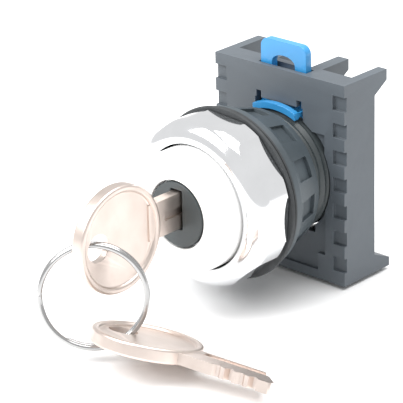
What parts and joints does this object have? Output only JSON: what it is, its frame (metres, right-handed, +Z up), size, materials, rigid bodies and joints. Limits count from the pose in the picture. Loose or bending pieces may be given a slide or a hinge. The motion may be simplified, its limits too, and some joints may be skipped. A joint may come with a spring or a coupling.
{
  "type": "selector key switch",
  "caption": "Key-operated selector switch for a round panel hole, with chrome bezel, ring nut, clip-on contact-block adapter with a slide latch, and two keys on a split ring.",
  "frame": {"origin": "on the switch's axis, at the panel's front surface, where the gasket's rear face lies", "axes": "+Y along the axis into the panel, towards the contact adapter; -Y towards the key; +X to the right of a person facing the panel; +Z up"},
  "size_m": [0.0484, 0.0633, 0.0406],
  "materials": {
    "chrome_bezel": "polished chrome plate",
    "white_plastic": "smooth satin white",
    "black_plastic": "moulded black",
    "nut_plastic": "moulded dark grey",
    "grey_plastic": "fine moulded texture",
    "blue_plastic": "smooth moulded blue",
    "rubber": "matt",
    "zinc": "die-cast zinc",
    "brass": "stamped",
    "nickel_key": "worn nickel plate on brass",
    "steel_ring": "bright nickel-plated wire",
    "steel_wire": "drawn spring wire"
  },
  "bodies": {
    "operator": {"panel_gasket": "rubber", "bezel_ring": "chrome_bezel", "front_collar": "white_plastic", "lock_barrel": "zinc", "barrel_seal": "rubber", "barrel_clip": "steel_wire", "operator_housing": "black_plastic", "plunger_spring_left": "steel_wire", "plunger_spring_right": "steel_wire", "ring_nut": "nut_plastic", "adapter_frame": "grey_plastic", "latch_spring": "steel_wire"},
    "rotor": {"lock_face": "black_plastic", "lock_plug": "zinc", "wafer_1": "brass", "wafer_2": "brass", "wafer_3": "brass", "wafer_4": "brass", "wafer_5": "brass", "cam_rotor": "white_plastic"},
    "key": {"key": "nickel_key"},
    "ring": {"split_ring": "steel_ring"},
    "spare": {"spare_key": "nickel_key"},
    "latch": {"latch_slide": "blue_plastic"},
    "plunger_left": {"plunger_left": "white_plastic"},
    "plunger_right": {"plunger_right": "white_plastic"}
  },
  "joints": [
    {"name": "key_turn", "type": "hinge", "parent": "operator", "child": "rotor", "pos_m": [0, 0, 0], "axis": [0, 1, 0], "range_deg": [0, 90]},
    {"name": "key_withdraw", "type": "slide", "parent": "rotor", "child": "key", "axis": [0, -1, 0], "range_m": [0, 0.02]},
    {"name": "ring_swing", "type": "hinge", "parent": "key", "child": "ring", "pos_m": [-0.0006, -0.03185, 0.00085], "axis": [-0.7371, -0.6758, 0], "range_deg": [-25, 25]},
    {"name": "spare_key_swing", "type": "hinge", "parent": "ring", "child": "spare", "pos_m": [0.00401, -0.02989, -0.01452], "axis": [0.5709, 0.6052, 0.5548], "range_deg": [-25, 25]},
    {"name": "latch_lift", "type": "slide", "parent": "operator", "child": "latch", "axis": [0, 0, 1], "range_m": [0, 0.0012], "stiffness_N_per_m": 150, "springref_m": -0.003, "deforming": ["latch_spring"]},
    {"name": "plunger_left_push", "type": "slide", "parent": "operator", "child": "plunger_left", "axis": [0, 1, 0], "range_m": [0, 0.0017], "deforming": ["plunger_spring_left"]},
    {"name": "plunger_right_push", "type": "slide", "parent": "operator", "child": "plunger_right", "axis": [0, 1, 0], "range_m": [0, 0.0017], "deforming": ["plunger_spring_right"]}
  ],
  "couplings": [
    {"joint": "plunger_left_push", "follows": "key_turn", "m_per_rad": 0.0010186},
    {"joint": "plunger_right_push", "follows": "key_turn", "m_per_rad": 0.0010186}
  ]
}
